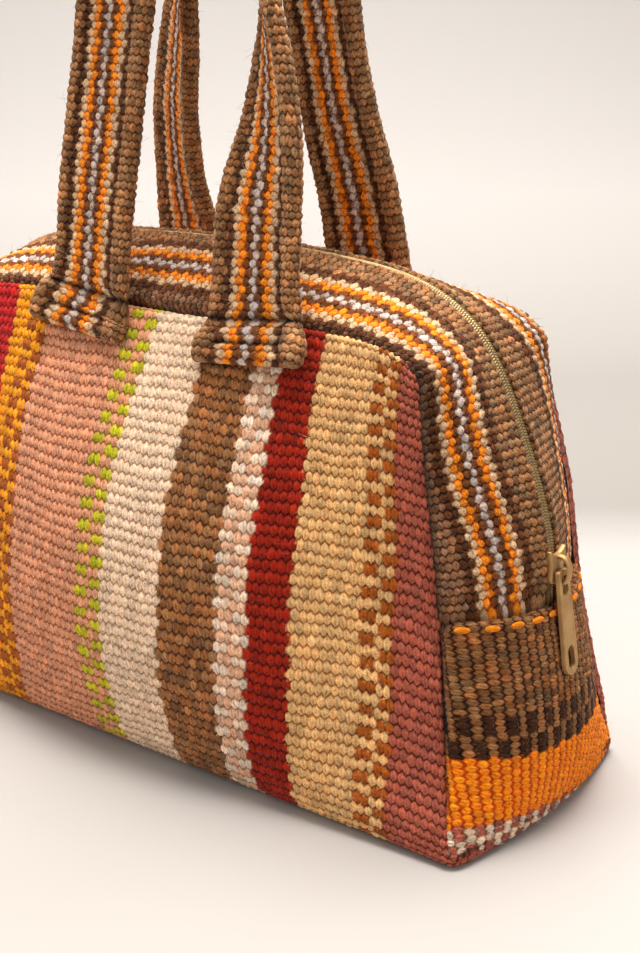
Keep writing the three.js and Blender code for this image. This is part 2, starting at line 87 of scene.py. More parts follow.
FRONT_LEGS = (
    leg(((52.5, -48.7, 166, 0), (51.8, -44.4, 174, 0), (51, -41, 181.6, 1), (49.8, -38.4, 196, 4)),
        ((49, 6), (50.2, 24), (46.6, 42), (41.2, 58), (37, 66), (29.6, 73), (20.6, 79), (11.2, 85), (2, 90))),
    leg(((-37.5, -47.6, 167.6, -1), (-36.6, -43.6, 175.2, -2), (-35, -40.6, 182.4, -3),
         (-34, -38.6, 196, -5)),
        ((-33.6, -3), (-32.8, -3), (-32.2, -4), (-31, 1), (-28.4, 18), (-23.2, 42), (-15.6, 64), (-7, 80),
         (2, 90))),
)
BACK_LEGS = (
    leg(((49.5, -49.2, 164.2, 0), (50.2, -44.9, 172.3, 0), (51, -41.2, 180.4, 2), (52, -38.6, 196, 12)),
        ((53.5, 22), (50.5, 26), (42, 31), (35, 43), (29.4, 56), (23.4, 68), (16.2, 78), (8.6, 85), (0, 90))),
    leg(((-44.5, -49.3, 164.2, -1), (-44.4, -45, 172.3, -2), (-44.3, -41.5, 180.4, -3),
         (-44, -38.6, 196, -4)),
        ((-41.5, -6), (-36.4, -10), (-34, -13), (-32.2, -6), (-29.4, 14), (-24.2, 42), (-16.8, 64),
         (-8.6, 80), (0, 90))),
)

# The weave: floats lie like bricks, each row of them half a float aside of the next
PANEL_WEAVE = {"spacing": 3.2, "pick": 4.34, "rise": 1.1, "half_length": 0.63, "taper": 2.7}
END_WEAVE = {"spacing": 2.4, "pick": 4.2, "rise": 1.0, "half_length": 0.55, "taper": 3.0}
STRAP_WEAVE = {"spacing": 2.9, "pick": 3.13, "rise": 1.15, "half_length": 0.61, "taper": 2.8}
FINE = (4, 4)  # grid steps to a spacing and to a pick
COARSE = (4, 2)
FLOAT_HALF_WIDTH = 0.54
FLOAT_TIP = 0.05  # share of its width that a float keeps at its tips
FLOAT_STRAY = 0.26
FLAT_SHARE = 0.7  # height of the lowest float, where the highest is 1
TUBE_PROUD = 0.5  # how far a strap's floats stand out, as a share of the rise
PLY_SHADE = 0.2  # darkening of the furrow between a yarn's two plies
PLY_DEPTH = 0.4
GAP_SHADE = 0.52  # painted shade in the gaps between floats: the share of a yarn's colour that is left in a gap, to which GAP_PALE adds a little grey
GAP_PALE = 0.1
SIDE_GAP = 0.8  # how much less dark the gaps are beside a float than at its tips
FLOOR_GAP = 0.02  # how far the lowest yarns stay above the floor

# Yarn colours as they look, 0 to 255
YARN = {
    "mauve": (170, 89, 69), "tan": (223, 175, 117), "rust": (165, 84, 23), "red": (152, 33, 9),
    "pink": (220, 173, 141), "white": (235, 210, 186), "tweed": (151, 101, 60), "cream": (236, 205, 175),
    "lime": (190, 182, 32), "salmon": (216, 150, 114), "orange": (237, 154, 21), "crimson": (187, 29, 31),
    "umber": (100, 56, 27), "brown": (146, 104, 74), "dark": (64, 34, 16), "ecru": (217, 180, 140),
    "amber": (240, 137, 22), "russet": (118, 65, 27), "grey": (202, 183, 172), "fold": (150, 107, 70),
    "camel": (168, 121, 80), "hair": (144, 97, 57), "marigold": (255, 140, 18),
}
PLAIN_MOTTLE = 0.15  # how much other yarns than these vary from float to float
MOTTLE = {
    "tweed": 0.4, "hair": 0.45, "brown": 0.38, "camel": 0.4, "fold": 0.4, "umber": 0.3, "dark": 0.25,
    "cream": 0.08, "red": 0.22, "mauve": 0.18,
}
DRIFT, DRIFT_PICKS = 0.1, 7  # how much a yarn varies along its length, and how often
WARMTH = 0.35  # share of the mottle that goes to warmer and colder

# Stripes as (ends, yarn) or (ends, yarn, other yarn) for a check of two blocks by two
BODY_STRIPES = (
    (20, "mauve"), (8, "tan", "rust"), (18, "tan"), (11, "red"), (8, "white", "pink"), (16, "tweed"),
    (18, "cream"), (8, "lime", "salmon"), (29, "salmon"), (8, "orange", "rust"), (6, "orange"),
    (17, "crimson"), (8, "crimson", "mauve"), (24, "mauve"),
)
END_STRIPES = ((30, "hair"), (12, "dark", "hair"), (18, "marigold"), (8, "mauve", "white"), (28, "mauve"))
STRIPE_BAND = tuple((2, yarn) for yarn in "ecru amber russet grey russet amber ecru".split())
STRAP_STRIPES = ((7, "camel"), (2, "umber")) + STRIPE_BAND + ((2, "umber"), (7, "camel"))
BELT_STRIPES = ((7, "brown"), (3, "umber")) + STRIPE_BAND + ((3, "umber"), (13, "fold"))

DICE_SIZE = 256
GRAIN_DICE = np.random.default_rng(20).random((4, DICE_SIZE, DICE_SIZE))
fibre_dice = np.random.default_rng(7)
FIBRE_HALF_WIDTH, FIBRE_REACH, FIBRE_FLOOR = 0.06, 3.6, 0.03


def linear(colour):
    """Light values of a colour given as it looks, by the usual screen curve."""
    share = np.asarray(colour, float) / 255
    return np.where(share <= 0.04045, share / 12.92, ((share + 0.055) / 1.055) ** 2.4)


def mix(a, b, t):
    return a + (b - a) * t


def packed(*columns):
    """Arrays as the columns of one, on a new last axis."""
    return np.stack(np.broadcast_arrays(*columns), -1)


def clamp(t):
    return np.clip(t, 0, 1)


def smooth_step(t):
    """From 0 to 1 by 3t^2 - 2t^3."""
    t = clamp(t)
    return t * t * (3 - 2 * t)


def bell(place, middle, reach):
    """e to minus the square of the distance from the middle over the reach."""
    return np.exp(-((place - middle) / reach) ** 2)


def along(rows, share):
    """Smooth curve through a table's rows, from share 0 to 1: each span is the cubic whose slopes are half
    the difference of its neighbours."""
    last = len(next(iter(rows.values()))) - 1
    place = clamp(share) * last
    i = np.minimum(np.floor(place).astype(int), last - 1)
    f = place - i
    out = {}
    for key, column in rows.items():
        wide = join([[2 * column[0] - column[1]], column, [2 * column[-1] - column[-2]]])
        a, b, c, d = (wide[i + k] for k in range(4))
        square = 2 * a - 5 * b + 4 * c - d
        cube = 3 * b - a - 3 * c + d
        out[key] = 0.5 * (2 * b + (c - a) * f + square * f * f + cube * f ** 3)
    return out


def unit(vectors):
    return vectors / np.maximum(np.linalg.norm(vectors, axis=-1, keepdims=True), 1e-9)


def lengths(points):
    """Distance along a polyline at each of its points."""
    steps = np.linalg.norm(np.diff(points, axis=0), axis=1)
    return join([[0], np.cumsum(steps)])


def at_runs(points, run, goal):
    """Points at distances along a polyline whose own points are at distances run."""
    return packed(*(np.interp(goal, run, column) for column in points.T))


def on_line(points, share):
    """Points of a polyline at shares of its length."""
    run = lengths(points)
    return at_runs(points, run, clamp(share) * run[-1])


def grid_normals(points):
    """Unit normals of a grid: the step across crossed with the step along."""
    return unit(np.cross(np.gradient(points, axis=1), np.gradient(points, axis=0)))


def steps_between(first, last, steps):
    """Steps of a whole number, from at or before the first place to at or past the last."""
    return np.arange(np.floor(first * steps), np.ceil(last * steps) + 1) / steps


def surface_normals(surface, u, v, small, limit=np.inf):
    """Outward normals of a surface by small steps either way, inside a limit across and 0 to 1 up."""
    du = surface(np.clip(u + small, -limit, limit), v) - surface(np.clip(u - small, -limit, limit), v)
    dv = surface(u, clamp(v + small)) - surface(u, clamp(v - small))
    return unit(np.cross(du, dv))


def body_surface(u, v):
    """Front half of the body cloth: a row of the section, full in the middle by (1 - u^2)^1.5 and level
    until close to the seams by 1 - u^8."""
    row = along(SECTION, v)
    pillow = np.maximum(0, 1 - u * u) ** BULGE_POWER
    level = 1 - np.abs(u) ** LEVEL_POWER
    y = mix(row["y_edge"], row["y_mid"], pillow)
    z = np.maximum(0, mix(row["z_edge"], row["z_mid"], level))
    return packed(row["x_edge"] * u, -y, z)


def seam_share(height):
    """Share of the section at which the side seam has a height."""
    share = np.linspace(0.2, 1, 1601)
    return np.interp(height, along(SECTION, share)["z_edge"], share)


def seam_at(height):
    return along(SECTION, seam_share(height))


def end_surface(q, v):
    """Right end panel: from seam to seam by 1 - |q|^2.2 between the seam's place and the middle line."""
    row = along(END_ROWS, v)
    seam = seam_at(row["z_edge"])
    full = 1 - np.abs(q) ** END_POWER
    x = mix(seam["x_edge"], row["x_mid"], full)
    z = np.maximum(0, mix(row["z_edge"], row["z_mid"], full))
    return packed(x, seam["y_edge"] * q, z)


def end_half_width(v):
    return seam_at(along(END_ROWS, v)["z_edge"])["y_edge"]


def thrown(layer, i, j):
    """Dice thrown for pairs of whole numbers, 0 to 1."""
    return GRAIN_DICE[layer, i % DICE_SIZE, j % DICE_SIZE]


def smooth_dice(layer, x, y):
    """Smooth noise from -0.5 to 0.5: dice thrown at whole numbers, with smooth steps between them."""
    i, j = np.floor(x).astype(int), np.floor(y).astype(int)
    f, g = smooth_step(x - i), smooth_step(y - j)
    low = mix(thrown(layer, i, j), thrown(layer, i + 1, j), f)
    high = mix(thrown(layer, i, j + 1), thrown(layer, i + 1, j + 1), f)
    return mix(low, high, g) - 0.5


def weave(a, b, kind):
    """Warp-faced cloth: floats centred on whole picks, on odd ones half a spacing aside. With x the share of
    the way to its tip, a float's half width is 1 - x to the taper, and its height the root of 1 less x
    squared and less the sideways share squared. Gives the nearest float's height, end and pick."""
    near = np.full(np.broadcast(a, b).shape, 9.0)
    end = np.zeros(near.shape, int)
    pick = np.zeros(near.shape, int)
    for step in (0, 1):
        row = np.floor(b) + step
        half = 0.5 * (row % 2)
        place = np.round(a - half)
        number = (2 * place + row % 2).astype(int)
        x = np.minimum(np.abs(b - row) / kind["half_length"], 1)
        half_width = FLOAT_HALF_WIDTH * np.maximum(1 - x ** kind["taper"], FLOAT_TIP)
        far = ((a - half - place) / half_width) ** 2 + x ** 2
        closer = far < near
        near = np.where(closer, far, near)
        end = np.where(closer, number, end)
        pick = np.where(closer, row, pick).astype(int)
    return np.sqrt(np.maximum(0, 1 - near)), end, pick


def ends_of(stripes):
    return sum(stripe[0] for stripe in stripes)


def chart(stripes):
    """Colour and mottle of every warp end; a check is two blocks whose ends take turns."""
    ends = []
    for count, *names in stripes:
        for k in range(count):
            other = len(names) == 2 and (2 * k // count + len(ends)) % 2
            colour = linear(YARN[names[1 if other else 0]])
            ends.append((*colour, MOTTLE.get(names[0], PLAIN_MOTTLE)))
    return np.array(ends)


def dye(ends, end, pick, first):
    """Colour of each point: its end's yarn, lighter or darker from float to float by the yarn's mottle, which
    is the fourth channel."""
    yarn = ends[np.clip(end - first, 0, len(ends) - 1)]
    mottle = yarn[..., 3]
    tone = 1 + mottle * (2 * thrown(0, end, pick) - 1)
    drift = 1 + DRIFT * (2 * thrown(1, end, pick // DRIFT_PICKS) - 1)
    warm = 1 + WARMTH * mottle * (2 * thrown(3, pick, end) - 1)
    colour = yarn[..., :3] * (tone * drift)[..., None] * packed(warm, 1, 1 / warm)
    return join([clamp(colour), mottle[..., None]], -1)


def turned_in(over, radius):
    """An edge that rolls in round a radius, from the distance past it: the new distance, never past the edge,
    and the depth below the surface."""
    angle = np.clip((over + radius) / radius, 0, np.pi / 2)
    bent = over > -radius
    new = np.where(bent, radius * (np.sin(angle) - 1), over)
    run_on = np.maximum(0, over + radius - radius * np.pi / 2)
    depth = np.where(bent, radius * (1 - np.cos(angle)) + run_on, 0)
    return new, depth


def rolled_corner(aside, above, corner, radius):
    """Two edges that meet in a round corner, from the distances past either: the distance past the outline,
    the moves back from either edge, and the depth below the surface."""
    out_aside = np.maximum(aside + corner, 0)
    out_above = np.maximum(above + corner, 0)
    reach = np.hypot(out_aside, out_above)
    over = np.where(reach > 0, reach, np.maximum(aside, above) + corner) - corner
    new, depth = turned_in(over, radius)
    back_by = (over - new) / np.maximum(reach, 1e-6)
    return over, back_by * out_aside, back_by * out_above, depth


def grid_quads(rows, cols, ring=False, tube=False):
    """Quads of a grid; a ring's last row joins its first, and a tube's last column does."""
    index = np.arange(rows * cols).reshape(rows, cols)
    after = np.roll(index, -1, axis=0)
    corners = packed(index, np.roll(index, -1, axis=1), np.roll(after, -1, axis=1), after)
    return corners[:rows if ring else -1, :cols if tube else -1].reshape(-1, 4)


def tube_quads(rings, sides, closed=False):
    """Quads of a tube, closed on itself or capped by quads from two neighbours to their opposite pair."""
    quads = grid_quads(rings, sides, closed, True)
    k = np.arange(sides // 2 - 1)
    cap = packed(k, k + 1, sides - k - 2, sides - k - 1)
    return quads if closed else join([quads, cap[:, ::-1], cap + (rings - 1) * sides])


def facing_out(spots, quads):
    """Quads of a closed shell, turned over if they enclose a negative volume."""
    p, q, r, s = (spots[quads[:, k]] for k in range(4))
    volume = (np.cross(r - p, s - q) * (p + q + r + s)).sum()
    return quads if volume > 0 else quads[:, ::-1]


def added(name, data):
    """A new object in the scene."""
    obj = bpy.data.objects.new(name, data)
    bpy.context.scene.collection.objects.link(obj)
    return obj


def quad_mesh(name, spots, quads):
    """Smooth object of points in metres and quads."""
    mesh = bpy.data.meshes.new(name)
    mesh.from_pydata(spots.tolist(), [], quads.tolist())
    mesh.shade_smooth()
    return added(name, mesh)


def cloth_mesh(name, points, yarn, weave_place_and_shade, keep=None, tube=False, flip=False, extra=()):
    """Mesh of a grid, with yarn colours and places in the weave as attributes, the weave's third channel
    being a painted shade, and with extra bits of points, quads and colours."""
    quads = (tube_quads if tube else grid_quads)(*points.shape[:2])
    if keep is not None:
        quads = quads[keep.ravel()[quads].all(1)]
    if flip:
        quads = quads[:, ::-1]
    used, corner = np.unique(quads, return_inverse=True)
    spots = points.reshape(-1, 3)[used]
    colour = yarn.reshape(-1, 4)[used]
    place = weave_place_and_shade.reshape(-1, 3)[used]
    quads = corner.reshape(-1, 4)
    for more_spots, more_quads, more_colour in extra:
        quads = join([quads, more_quads + len(spots)])
        spots = join([spots, more_spots])
        colour = join([colour, more_colour])
        place = join([place, np.tile([0.0, 0.0, 1.0], (len(more_spots), 1))])
    obj = quad_mesh(name, spots * MM, quads)
    attributes = obj.data.attributes
    attributes.new("yarn", "FLOAT_COLOR", "POINT").data.foreach_set("color", colour.ravel())
    attributes.new("weave", "FLOAT_VECTOR", "POINT").data.foreach_set("vector", place.ravel())
    return obj


def fibres(points, out, yarn, where, count):
    """Loose fibres: thin ribbons that leave the cloth at dice-chosen spots, each straight but for a bend that
    grows with the square of the way along it."""
    at = np.flatnonzero(where)
    at = at[fibre_dice.integers(0, len(at), count)]
    root, normal = points.reshape(-1, 3)[at], out.reshape(-1, 3)[at]
    colour = yarn.reshape(-1, 4)[at]
    ahead = unit(normal * 0.55 + fibre_dice.normal(0, 0.6, (count, 3)))
    bend = fibre_dice.normal(0, 0.5, (count, 3)) - 0.15 * normal
    side = unit(np.cross(ahead, fibre_dice.normal(0, 1, (count, 3)))) * FIBRE_HALF_WIDTH
    length = FIBRE_REACH * fibre_dice.uniform(0.35, 1.0, (count, 1))
    spots = np.empty((count, 4, 2, 3))
    for k, t in enumerate(np.linspace(0, 1, 4)):
        middle = root + length * (ahead * t + bend * t * t)
        half = side * (1 - 0.6 * t)
        spots[:, k, 0], spots[:, k, 1] = middle - half, middle + half
    spots[..., 2] = np.maximum(spots[..., 2], FIBRE_FLOOR)
    quads = np.arange(count)[:, None, None] * 8 + grid_quads(4, 2)
    tint = join([clamp(colour[:, :3] * 1.3 + 0.06), np.full((count, 1), 0.1)], 1)
    return spots.reshape(-1, 3), quads.reshape(-1, 4), np.repeat(tint, 8, axis=0)


def bead(middle, long_way, wide_way, up_way):
    """One stitch: rings of eight round a line, fat in the middle by the root of 1 - t^2, with capped ends."""
    t = np.array([-1, -0.8, -0.35, 0.35, 0.8, 1])[:, None, None]
    angle = np.arange(8)[None, :, None] * np.pi / 4
    fat = np.sqrt(1 - (0.97 * t) ** 2)
    spots = middle + long_way * t + fat * (wide_way * np.cos(angle) + up_way * np.sin(angle))
    quads = tube_quads(*spots.shape[:2])
    spots = spots.reshape(-1, 3)
    tint = np.tile([*linear(YARN["amber"]), PLAIN_MOTTLE], (len(spots), 1))
    return spots, facing_out(spots, quads), tint


def woven(name, base, a, b, kind, stripes, first, fade, shade, way, loose, keep=None, tube=False, extra=()):
    """Cloth on a base grid, mirrored by way: valleys sink by the rise, and tops stay on the grid or, on a
    tube, stand proud. Loose is where fibres leave it, and how many."""
    if tube:
        out = -grid_normals(join([base[:, -2:], base, base[:, :2]], axis=1))[:, 2:-2]
    else:
        out = grid_normals(base)
    a = a + FLOAT_STRAY * smooth_dice(2, a * 1.3, b * 0.8)
    b = b + FLOAT_STRAY * smooth_dice(3, a * 0.7, b * 0.9)
    height, end, pick = weave(a, b, kind)
    lift = height * mix(FLAT_SHARE, 1, thrown(1, pick, end)) - 1 + (TUBE_PROUD if tube else 0)
    points = base + out * (kind["rise"] * fade * lift)[..., None]
    points[..., 2] = np.maximum(points[..., 2], FLOOR_GAP)
    points, out = points * way, out * way
    yarn = dye(chart(stripes), end, pick, first)
    # the third channel is the painted shade of creases, seams and turned-in edges
    at = packed(a, b, shade)
    where, count = loose
    bits = [fibres(points, out, yarn, where, count)] if count else []
    flip = (np.prod(way) < 0) != tube
    return cloth_mesh(name, points, yarn, at, keep, tube, flip, [*bits, *extra])


def dressed(obj, material, slot, *nodes, body="bag"):
    """Finishes a piece: its material, its body and the solids it stands for; the slot is not used."""
    obj.data.materials.append(material)
    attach(obj, body)
    if nodes:
        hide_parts(*nodes)
    return obj


def given(thing, **settings):
    """The thing, with its settings."""
    for key, value in settings.items():
        setattr(thing, key, value)
    return thing


def fill(tree, made, inputs):
    """Fills a node's inputs: an output is linked, and anything else is a value."""
    for key, value in inputs.items():
        if isinstance(value, bpy.types.NodeSocket):
            tree.links.new(value, made.inputs[key])
        else:
            made.inputs[key].default_value = value


def node(tree, kind, inputs=(), **settings):
    """Outputs of a new shader node."""
    made = given(tree.nodes.new("ShaderNode" + kind), **settings)
    fill(tree, made, dict(inputs))
    return made.outputs


def object_place(tree):
    return node(tree, "TexCoord")["Object"]


def noise(tree, scale, detail, roughness=0.5, place=None):
    """Smooth noise over a place, or else over the object."""
    place = place or object_place(tree)
    inputs = {"Vector": place, "Scale": scale, "Detail": detail, "Roughness": roughness}
    return node(tree, "TexNoise", inputs)["Fac"]


def ranged(tree, value, start=(0, 1), to=(0, 1), **settings):
    """A value carried from one range to another."""
    names = ("Value", "From Min", "From Max", "To Min", "To Max")
    return node(tree, "MapRange", zip(names, (value, *start, *to)), **settings)["Result"]


def vector(tree, operation, first, second):
    second_input = "Scale" if operation == "SCALE" else 1
    return node(tree, "VectorMath", {0: first, second_input: second}, operation=operation)[0]


def ramp(tree, value, stops):
    """Colour by value, from stops of a place and a colour."""
    outputs = node(tree, "ValToRGB", {"Fac": value})
    elements = outputs["Color"].node.color_ramp.elements
    while len(elements) < len(stops):
        elements.new(0.5)
    for stop, (place, colour) in zip(elements, stops):
        stop.position = place
        stop.color = (*colour, 1)
    return outputs["Color"]


def bump(tree, height, strength, distance):
    return node(tree, "Bump", {"Height": height, "Strength": strength, "Distance": distance})["Normal"]


def new_material(name):
    """A new material and its node tree."""
    material = bpy.data.materials.new(name)
    material.use_nodes = True
    return material, material.node_tree


def shaded(material, inputs):
    """The material, once its shader has its inputs."""
    fill(material.node_tree, material.node_tree.nodes["Principled BSDF"], inputs)
    return material


def yarn_group():
    """Spun yarn, from each spot's place in the weave: how far a float covers it (1 on top, 0 in the gap),
    with slanting plies and fibre noise. Gives the cover, a tone to multiply the colour with, which carries a
    painted shade in the ply furrows and the weave's painted shade of creases and seams, and a height."""
    group = bpy.data.node_groups.new("spun_yarn", "ShaderNodeTree")
    group.interface.new_socket("Weave", in_out="INPUT", socket_type="NodeSocketVector")
    inputs, outputs = ("Half Length", "Taper", "Mottle", "Streak", "Fuzz"), ("Cover", "Tone", "Height")
    for name in inputs + outputs:
        way = "INPUT" if name in inputs else "OUTPUT"
        group.interface.new_socket(name, in_out=way, socket_type="NodeSocketFloat")
    spun = group.nodes.new("NodeGroupInput").outputs

    def math(operation, *values):
        return node(group, "Math", enumerate(values), operation=operation)[0]

    def ease(low, high, value):
        return ranged(group, value, (low, high), interpolation_type="SMOOTHSTEP")

    plus, minus, times = (partial(math, operation) for operation in ("ADD", "SUBTRACT", "MULTIPLY"))
    parts = node(group, "SeparateXYZ", {0: spun["Weave"]})
    across, ahead, shade = parts["X"], parts["Y"], parts["Z"]
    sizes = ((1900, 3), (520, 2), (60, 2))
    fibre, lock, cloud = (minus(noise(group, *size), 0.5) for size in sizes)
    a = plus(across, times(lock, 0.2))
    b = plus(ahead, times(lock, 0.16))
    floats, sides = [], []
    for step in (0, 1):
        row = plus(math("FLOOR", b), step)
        shifted = minus(a, times(math("FLOORED_MODULO", row, 2), 0.5))
        aside = minus(shifted, math("ROUND", shifted))
        from_row = minus(b, row)
        x = math("MINIMUM", math("DIVIDE", math("ABSOLUTE", from_row), spun["Half Length"]), 1.0)
        narrow = math("MAXIMUM", minus(1.0, math("POWER", x, spun["Taper"])), FLOAT_TIP)
        sideways = math("DIVIDE", aside, times(narrow, FLOAT_HALF_WIDTH))
        inner = times(sideways, SIDE_GAP)
        far = plus(times(inner, inner), times(x, x))
        floats.append(math("SQRT", math("MAXIMUM", minus(1.0, far), 0.0)))
        sides.append(math("ABSOLUTE", plus(sideways, times(from_row, 0.5))))
    top = math("MAXIMUM", *floats)
    cover = ease(0.0, 0.8, math("POWER", top, 1.5))
    lean = times(minus(*sides), math("GREATER_THAN", *floats))
    furrow = times(minus(1.0, ease(0.02, 0.42, plus(sides[1], lean))), cover)
    slant = plus(times(across, 3.4), times(ahead, 1.3))
    twist = node(group, "CombineXYZ", {0: slant, 1: ahead})[0]
    strand = minus(noise(group, 1.0, 3, 0.6, twist), 0.5)
    depth = plus(times(spun["Mottle"], 2.8), 0.25)
    streak = times(strand, times(spun["Streak"], depth))
    rough = times(plus(fibre, times(lock, 0.7)), spun["Fuzz"])
    grain = plus(plus(rough, streak), times(cloud, 0.25))
    grain = minus(grain, times(furrow, PLY_SHADE))
    # the weave's third channel multiplies in the painted shade of creases and seams
    tone = times(math("MAXIMUM", plus(grain, 1.0), 0.1), shade)
    height = plus(plus(top, times(fibre, 0.7)), times(streak, 0.35))
    height = minus(height, times(furrow, PLY_DEPTH))
    fill(group, group.nodes.new("NodeGroupOutput"), dict(zip(outputs, (cover, tone, height))))
    return group


SPUN_YARN = yarn_group()


def wool(name, kind, streak=1.5, fuzz=1.2):
    """Wool cloth: on top of a float the yarn's own colour; in the gaps a painted shade, that colour times a
    part of itself and a little grey, since light there has met the yarn twice; the tone adds the painted
    shade of creases and seams; rough, with a faint sheen."""
    material, tree = new_material(name)
    yarn = node(tree, "Attribute", attribute_name="yarn")
    spun = node(tree, "Group", {
        "Weave": node(tree, "Attribute", attribute_name="weave")["Vector"], "Mottle": yarn["Alpha"],
        "Half Length": kind["half_length"], "Taper": kind["taper"], "Streak": streak, "Fuzz": fuzz,
    }, node_tree=SPUN_YARN)
    # painted shade in the gaps between floats, lifted by a little grey
    gap_shade_colour = vector(tree, "SCALE", yarn["Color"], GAP_SHADE)
    pale = vector(tree, "ADD", gap_shade_colour, (GAP_PALE,) * 3)
    both = {"Factor": spun["Cover"], 4: pale, 5: (1, 1, 1)}  # 4 and 5 are the two vectors to mix
    gap_shade_share = node(tree, "Mix", both, data_type="VECTOR")[1]
    gap_shaded = vector(tree, "MULTIPLY", yarn["Color"], gap_shade_share)
    return shaded(material, {
        "Base Color": vector(tree, "SCALE", gap_shaded, spun["Tone"]), "Roughness": 0.95, "Specular IOR Level": 0.12,
        "Sheen Weight": 0.08, "Sheen Roughness": 0.5, "Normal": bump(tree, spun["Height"], 0.8, 0.0006),
    })


def brass(name, light, dark, rough):
    """Old brass: two tones by a cloudy noise, with brushed fine grain in its roughness."""
    material, tree = new_material(name)
    cloud = noise(tree, 160, 5)
    return shaded(material, {
        "Base Color": ramp(tree, cloud, ((0.3, linear(dark)), (0.72, linear(light)))), "Metallic": 0.7,
        "Roughness": ranged(tree, noise(tree, 2400, 2), to=rough),
        "Normal": bump(tree, cloud, 0.25, 0.00012),
    })


def coil_brass(name):
    """Old brass coil: its own colour times a cloudy noise, half metal, satin."""
    material, tree = new_material(name)
    cloud = ranged(tree, noise(tree, 420, 3), to=(0.55, 1.35))
    colour = node(tree, "Attribute", attribute_name="yarn")["Color"]
    tint = vector(tree, "SCALE", colour, cloud)
    return shaded(material, {"Base Color": tint, "Metallic": 0.55, "Roughness": 0.42})


BODY_WOOL = wool("body_wool", PANEL_WEAVE)
END_WOOL = wool("end_wool", END_WEAVE)
BELT_WOOL = wool("belt_wool", STRAP_WEAVE, streak=1.2, fuzz=1.7)
STRAP_WOOL = wool("strap_wool", STRAP_WEAVE, streak=1.2, fuzz=1.7)

# Body cloth
SHARES = np.linspace(0, 1, 1601)
SECTION_RUN = lengths(body_surface(np.zeros_like(SHARES), SHARES))
SECTION_TOP = SECTION_RUN[-1]
BASE_SHARE = 0.19  # of the section
BASE_REACH = float(np.interp(BASE_SHARE, SHARES, SECTION_RUN))
HALF_ENDS = 51  # end spacings from the middle to either side
STRIPES_FROM = 158.5  # where the first stripe begins, to the right of the middle
STRIPE_DRAW_IN = 12.0  # how much the stripes draw together towards the top, at this height and half width
DRAW_IN_HEIGHT, DRAW_IN_HALF = 178, 127.5
WAVY_FROM = 8.0  # how far above the base the picks begin to wander
CORNER_RADIUS, EDGE_RADIUS = 9.0, 3.4
EDGE_PAST = 5.4  # how much of the cloth is turned in
FRONT_WELT = -3.0  # the front panel stays short of the seam
BACK_WELT = 1.8  # the back panel stands out past it, and further lower down
LOWER_BACK_WELT, LOWER_FROM, LOWER_OVER = 3.6, 150, 30
WELT_FROM, WELT_OVER = 4, 24  # heights above the floor over which a welt comes in
PAST_SEAM = 1.05
TOP_DIP = 2.6  # how much lower the front's top edge is between the straps
TOP_DIP_AT, TOP_DIP_REACH = 6.0, 38.0


def body_panel(name, span, back, steps, count):
    """Body cloth between two distances from the middle of the base: columns are the warp ends, drawn in a
    little towards the top, rows the picks; the edges roll in."""
    spacing, pick = PANEL_WEAVE["spacing"], PANEL_WEAVE["pick"]
    picks = steps_between(span[0] / pick, span[1] / pick, steps[1])
    a, b = np.meshgrid(steps_between(-HALF_ENDS, HALF_ENDS, steps[0]), picks)
    flat, run = a * spacing, np.abs(b * pick)
    wander = 0.5 * np.sin(flat / 19 + 0.7) + 0.35 * np.sin(flat / 7.3 + b * 0.21)
    run = run + np.where(run > BASE_REACH + WAVY_FROM, wander, 0)
    row = along(SECTION, np.interp(run, SECTION_RUN, SHARES))
    sway = 0.5 * np.sin(b * 0.42 + flat / 41)
    x = flat + sway - STRIPE_DRAW_IN * (row["z_mid"] / DRAW_IN_HEIGHT) * (flat / DRAW_IN_HALF) ** 3
    lower_back = LOWER_BACK_WELT * clamp((LOWER_FROM - row["z_edge"]) / LOWER_OVER)
    come_in = clamp((row["z_edge"] - WELT_FROM) / WELT_OVER)
    welt = come_in * (BACK_WELT + lower_back if back else FRONT_WELT)
    aside = np.abs(x) - row["x_edge"] - welt
    dip = 0 if back else TOP_DIP * np.exp(-((x - TOP_DIP_AT) / TOP_DIP_REACH) ** 4)
    above = run - SECTION_TOP + dip
    over, back_x, back_run, depth = rolled_corner(aside, above, CORNER_RADIUS, EDGE_RADIUS)
    x_new = np.sign(x) * (np.abs(x) - back_x)
    v = np.interp(run - back_run, SECTION_RUN, SHARES)
    u = np.clip(x_new / along(SECTION, v)["x_edge"], -PAST_SEAM, PAST_SEAM)
    base = body_surface(u, v) - surface_normals(body_surface, u, v, 1e-3) * depth[..., None]
    base[..., 1] *= np.where(b < 0, -1, 1)
    base[..., 2] = np.maximum(base[..., 2], 0.0)
    stripes = BODY_STRIPES[::-1]
    first_end = int(np.floor(2 * STRIPES_FROM / spacing)) - ends_of(stripes) + 1
    fade = np.clip((EDGE_PAST - over) / 3, 0.2, 1)
    # painted shade on the edges that roll in at the seams and top, less deep on the back panel
    shade = np.clip(1 - (over - 1.2) / 5, 0.8 if back else 0.45, 1)
    way = np.array([1, -1 if back else 1, 1])
    return woven(name, base, a, b, PANEL_WEAVE, stripes, first_end, fade, shade, way, (over < 1, count),
                 over < EDGE_PAST)


UPRIGHT = BASE_REACH, SECTION_TOP + EDGE_PAST
for name, span, back, steps, count, flat in (
    ("body_front", UPRIGHT, False, FINE, 2400, (0.318, 0.214)),
    ("body_back", UPRIGHT, True, COARSE, 1200, (0.318, 0.214)),
    ("body_base", (-BASE_REACH, BASE_REACH), False, COARSE, 0, (0.322, 0.094)),
):
    piece = dressed(body_panel(name, span, back, steps, count), BODY_WOOL, "body_wool", "body_cloth")

